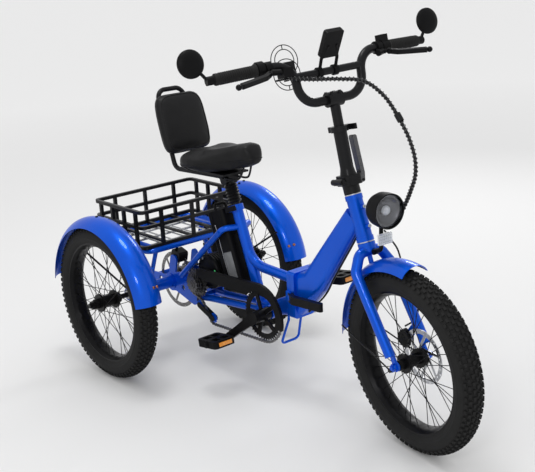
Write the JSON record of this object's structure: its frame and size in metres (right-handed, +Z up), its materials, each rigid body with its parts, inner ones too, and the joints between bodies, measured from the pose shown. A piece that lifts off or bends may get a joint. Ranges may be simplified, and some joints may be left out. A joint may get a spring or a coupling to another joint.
{
  "type": "folding electric tricycle",
  "caption": "Folding electric tricycle for an adult: blue folding frame, fat knobby tyres, rear carrier with basket, cushioned seat with backrest, chain drive and motor.",
  "frame": {"origin": "on the ground under the middle of the object", "axes": "+X forwards, +Y to the rider's left, +Z up"},
  "size_m": [1.6447, 0.8497, 1.1839],
  "materials": {
    "blue_paint": "gloss",
    "black_paint": "satin",
    "black_alloy": "satin black",
    "steel": "brushed",
    "chain_steel": "oiled",
    "tyre_rubber": "matte",
    "grip_rubber": "matte",
    "black_plastic": "matte",
    "cushion": "soft matte",
    "clear_lens": "clear",
    "cable_jacket": "matte"
  },
  "bodies": {
    "rear_frame": {"rear_frame": "blue_paint", "rear_rack": "blue_paint", "basket": "black_paint", "right_rear_fender": "blue_paint", "left_rear_fender": "blue_paint", "axle_bearings": "steel", "battery_dock": "black_plastic", "drive_motor": "black_alloy", "chain_guard": "black_plastic", "chains": "chain_steel", "rear_caliper": "black_alloy", "derailleur": "black_alloy"},
    "battery": {"battery_pack": "black_plastic"},
    "crank": {"crankset": "black_alloy"},
    "right_pedal": {"right_pedal": "black_plastic"},
    "left_pedal": {"left_pedal": "black_plastic"},
    "cassette": {"cassette": "steel"},
    "guide_pulley": {"guide_pulley": "black_plastic"},
    "tension_pulley": {"tension_pulley": "black_plastic"},
    "differential": {"differential": "black_alloy", "rear_rotor": "steel"},
    "right_rear_wheel": {"right_rear_wheel": "black_alloy", "right_rear_tyre": "tyre_rubber"},
    "left_rear_wheel": {"left_rear_wheel": "black_alloy", "left_rear_tyre": "tyre_rubber"},
    "front_frame": {"front_frame": "blue_paint", "headset_and_fold_pin": "black_paint", "frame_cable": "cable_jacket"},
    "frame_latch": {"frame_latch": "black_alloy"},
    "fork": {"fork": "blue_paint", "front_fender": "blue_paint", "headlight": "black_plastic", "lamp_optics": "clear_lens", "front_caliper": "black_alloy", "stem_base": "black_paint", "fork_cable": "cable_jacket", "lower_cables": "cable_jacket"},
    "front_wheel": {"front_wheel": "black_alloy", "front_tyre": "tyre_rubber", "front_rotor": "steel"},
    "stem": {"stem_tube": "black_paint"},
    "stem_latch": {"stem_latch": "black_alloy"},
    "collar_lever": {"collar_lever": "black_alloy"},
    "handlebar": {"handlebar": "black_alloy", "bar_controls": "black_plastic", "display": "black_plastic", "cup_holder": "black_paint", "left_grip": "grip_rubber", "upper_cables": "cable_jacket"},
    "throttle_grip": {"throttle_grip": "grip_rubber"},
    "right_brake_lever": {"right_brake_lever": "black_alloy"},
    "left_brake_lever": {"left_brake_lever": "black_alloy"},
    "shift_lever": {"shift_lever": "black_plastic"},
    "right_mirror": {"right_mirror": "black_plastic"},
    "left_mirror": {"left_mirror": "black_plastic"},
    "seat": {"seat_post": "black_paint", "saddle": "cushion", "backrest_frame": "black_paint", "backrest_pad": "cushion"},
    "seat_clamp_lever": {"seat_clamp_lever": "black_alloy"}
  },
  "joints": [
    {"name": "frame_fold", "type": "hinge", "parent": "rear_frame", "child": "front_frame", "pos_m": [0.097, 0.052, 0.358], "axis": [0, 0, 1], "range_deg": [0, 45]},
    {"name": "frame_latch_turn", "type": "hinge", "parent": "front_frame", "child": "frame_latch", "pos_m": [0.106, -0.05, 0.358], "axis": [0, 0, -1], "range_deg": [0, 110]},
    {"name": "steering", "type": "hinge", "parent": "front_frame", "child": "fork", "pos_m": [0.383, 0, 0.576], "axis": [-0.3206, 0, 0.9472], "range_deg": [-35, 55]},
    {"name": "front_wheel_spin", "type": "hinge", "parent": "fork", "child": "front_wheel", "pos_m": [0.55605, -0.01147, 0.26768], "axis": [0.1645, 0.9848, 0.0557], "continuous": true},
    {"name": "stem_fold", "type": "hinge", "parent": "fork", "child": "stem", "pos_m": [0.31968, -0.03742, 0.74249], "axis": [-0.968, 0.172, -0.1826], "range_deg": [-120, 0]},
    {"name": "stem_latch_turn", "type": "hinge", "parent": "fork", "child": "stem_latch", "pos_m": [0.33403, 0.03958, 0.73898], "axis": [-0.968, 0.172, -0.1826], "range_deg": [0, 100]},
    {"name": "collar_lever_turn", "type": "hinge", "parent": "stem", "child": "collar_lever", "pos_m": [0.27244, 0.02455, 0.88158], "axis": [-0.1894, -0.0239, 0.9816], "range_deg": [0, 110]},
    {"name": "stem_height", "type": "slide", "parent": "stem", "child": "handlebar", "axis": [-0.1894, -0.0239, 0.9816], "range_m": [-0.05, 0.05], "deforming": ["lower_cables"]},
    {"name": "right_brake", "type": "hinge", "parent": "handlebar", "child": "right_brake_lever", "pos_m": [0.25342, -0.2067, 1.05871], "axis": [-0.2988, 0.1035, -0.9487], "range_deg": [0, 25], "stiffness_Nm_per_rad": 2},
    {"name": "left_brake", "type": "hinge", "parent": "handlebar", "child": "left_brake_lever", "pos_m": [0.31855, 0.18328, 1.08076], "axis": [0.2988, -0.1035, 0.9487], "range_deg": [0, 25], "stiffness_Nm_per_rad": 2},
    {"name": "throttle", "type": "hinge", "parent": "handlebar", "child": "throttle_grip", "pos_m": [0.1793, -0.33833, 1.05548], "axis": [-0.2665, -0.9598, -0.0881], "range_deg": [0, 70], "stiffness_Nm_per_rad": 0.3},
    {"name": "gear_shift", "type": "hinge", "parent": "handlebar", "child": "shift_lever", "pos_m": [0.26305, -0.15842, 1.03832], "axis": [-0.1894, -0.0239, 0.9816], "range_deg": [0, 25], "stiffness_Nm_per_rad": 0.5},
    {"name": "right_mirror_turn", "type": "hinge", "parent": "handlebar", "child": "right_mirror", "pos_m": [0.1793, -0.33833, 1.05548], "axis": [-0.2665, -0.9598, -0.0881], "range_deg": [-30, 30]},
    {"name": "left_mirror_turn", "type": "hinge", "parent": "handlebar", "child": "left_mirror", "pos_m": [0.29115, 0.33134, 1.09333], "axis": [0.0605, 0.9979, 0.0226], "range_deg": [-30, 30]},
    {"name": "seat_height", "type": "slide", "parent": "rear_frame", "child": "seat", "axis": [-0.319, 0, 0.9478], "range_m": [0, 0.1]},
    {"name": "seat_clamp_turn", "type": "hinge", "parent": "rear_frame", "child": "seat_clamp_lever", "pos_m": [-0.21604, -0.022, 0.5731], "axis": [0.319, 0, -0.9478], "range_deg": [0, 80]},
    {"name": "battery_lift", "type": "slide", "parent": "rear_frame", "child": "battery", "axis": [-0.319, 0, 0.9478], "range_m": [0, 0.06]},
    {"name": "right_rear_wheel_spin", "type": "hinge", "parent": "rear_frame", "child": "right_rear_wheel", "pos_m": [-0.533, 0, 0.268], "axis": [0, 1, 0], "continuous": true},
    {"name": "left_rear_wheel_spin", "type": "hinge", "parent": "rear_frame", "child": "left_rear_wheel", "pos_m": [-0.533, 0, 0.268], "axis": [0, 1, 0], "continuous": true},
    {"name": "crank_spin", "type": "hinge", "parent": "rear_frame", "child": "crank", "pos_m": [-0.018, 0, 0.274], "axis": [0, 1, 0], "continuous": true},
    {"name": "right_pedal_spin", "type": "hinge", "parent": "crank", "child": "right_pedal", "pos_m": [-0.15391, 0, 0.17525], "axis": [0, 1, 0], "continuous": true},
    {"name": "left_pedal_spin", "type": "hinge", "parent": "crank", "child": "left_pedal", "pos_m": [0.11792, 0, 0.37275], "axis": [0, 1, 0], "continuous": true},
    {"name": "cassette_spin", "type": "hinge", "parent": "rear_frame", "child": "cassette", "pos_m": [-0.368, 0, 0.3], "axis": [0, 1, 0], "continuous": true},
    {"name": "guide_pulley_spin", "type": "hinge", "parent": "rear_frame", "child": "guide_pulley", "pos_m": [-0.349, 0, 0.228], "axis": [0, 1, 0], "continuous": true},
    {"name": "tension_pulley_spin", "type": "hinge", "parent": "rear_frame", "child": "tension_pulley", "pos_m": [-0.277, 0, 0.198], "axis": [0, 1, 0], "continuous": true},
    {"name": "differential_spin", "type": "hinge", "parent": "rear_frame", "child": "differential", "pos_m": [-0.533, 0, 0.268], "axis": [0, 1, 0], "continuous": true}
  ],
  "couplings": [
    {"joint": "cassette_spin", "follows": "crank_spin", "ratio": 2.2},
    {"joint": "guide_pulley_spin", "follows": "crank_spin", "ratio": -4},
    {"joint": "tension_pulley_spin", "follows": "crank_spin", "ratio": 4},
    {"joint": "differential_spin", "follows": "crank_spin", "ratio": 1.4667}
  ]
}
